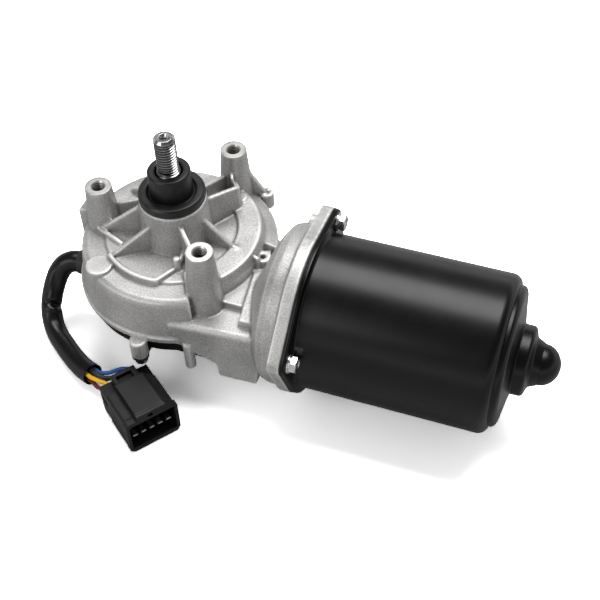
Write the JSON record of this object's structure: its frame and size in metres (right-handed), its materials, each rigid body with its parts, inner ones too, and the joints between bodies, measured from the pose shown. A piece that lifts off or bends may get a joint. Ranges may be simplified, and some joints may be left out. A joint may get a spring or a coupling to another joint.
{
  "type": "wiper motor",
  "caption": "Windscreen wiper gearmotor: ribbed cast gear housing with three threaded standoffs, threaded output shaft with rubber boot, black motor can and a short sleeved lead with plug.",
  "frame": {"origin": "on the output shaft axis, in the plane of the three standoff faces and the tower rim", "axes": "+Z along the output shaft towards its tip, +X along the motor can away from the gear housing"},
  "size_m": [0.3091, 0.1658, 0.1431],
  "materials": {
    "cast_aluminium": "satin sand-cast skin, machined faces bright",
    "black_can": "gloss black enamel on pressed steel",
    "black_rubber": "satin moulded rubber",
    "black_plastic": "fine moulded grain",
    "bright_steel": "turned and ground",
    "zinc_steel": "bright zinc plate",
    "spring_steel": "blued",
    "bronze": "sintered, oily",
    "copper": "enamelled copper",
    "contact_brass": "stamped sheet",
    "gear_plastic": "moulded acetal",
    "core_steel": "stacked laminations",
    "magnet_ferrite": "sintered ferrite",
    "carbon": "pressed carbon",
    "brown_board": "phenolic board",
    "grey_rubber": "compressed gasket",
    "sleeve_vinyl": "soft gloss vinyl tube",
    "wire_black": "soft vinyl insulation",
    "wire_blue": "soft vinyl insulation",
    "wire_yellow": "soft vinyl insulation",
    "wire_brown": "soft vinyl insulation",
    "wire_violet": "soft vinyl insulation"
  },
  "bodies": {
    "housing": {"gear_housing": "cast_aluminium", "tower_upper_bush": "bronze", "tower_lower_bush": "bronze", "shaft_seal_boot": "black_rubber", "shaft_thrust_washer": "bright_steel", "idler_pin": "bright_steel", "idler_washer": "spring_steel", "bearing_outer_ring": "bright_steel", "bearing_balls": "bright_steel", "worm_end_bush": "bronze", "worm_thrust_pad": "brown_board", "brush_holder": "brown_board", "brushes": "carbon", "brush_springs": "spring_steel", "choke_coils": "copper", "motor_can": "black_can", "magnets": "magnet_ferrite", "magnet_clips": "spring_steel", "can_end_bush": "bronze", "can_end_ball": "bright_steel", "flange_gasket": "grey_rubber", "motor_screws": "zinc_steel", "bottom_cover": "black_plastic", "cover_gasket": "grey_rubber", "cover_screws": "zinc_steel", "contact_plate": "brown_board", "park_contacts": "contact_brass", "cable_grommet": "black_rubber", "cable_sleeve": "sleeve_vinyl", "wire_black": "wire_black", "wire_blue": "wire_blue", "wire_yellow": "wire_yellow", "wire_brown": "wire_brown", "wire_violet": "wire_violet", "plug_housing": "black_plastic", "plug_terminals": "zinc_steel"},
    "armature": {"worm": "bright_steel", "armature_shaft": "bright_steel", "armature_core": "core_steel", "armature_windings": "copper", "commutator": "copper", "bearing_inner_ring": "bright_steel"},
    "idler": {"idler_worm_wheel": "gear_plastic", "idler_pinion": "bright_steel"},
    "output": {"output_shaft": "bright_steel", "shaft_circlip": "spring_steel", "output_gear": "gear_plastic", "park_disc": "contact_brass"}
  },
  "joints": [
    {"name": "armature_spin", "type": "hinge", "parent": "housing", "child": "armature", "pos_m": [0.1, -0.017, -0.045], "axis": [1, 0, 0], "continuous": true},
    {"name": "idler_spin", "type": "hinge", "parent": "housing", "child": "idler", "pos_m": [0.00721, -0.03425, -0.05], "axis": [0, 0, 1], "continuous": true},
    {"name": "output_spin", "type": "hinge", "parent": "housing", "child": "output", "pos_m": [0, 0, -0.03], "axis": [0, 0, 1], "continuous": true}
  ],
  "couplings": [
    {"joint": "idler_spin", "follows": "armature_spin", "ratio": 0.05},
    {"joint": "output_spin", "follows": "armature_spin", "ratio": -0.016667}
  ]
}
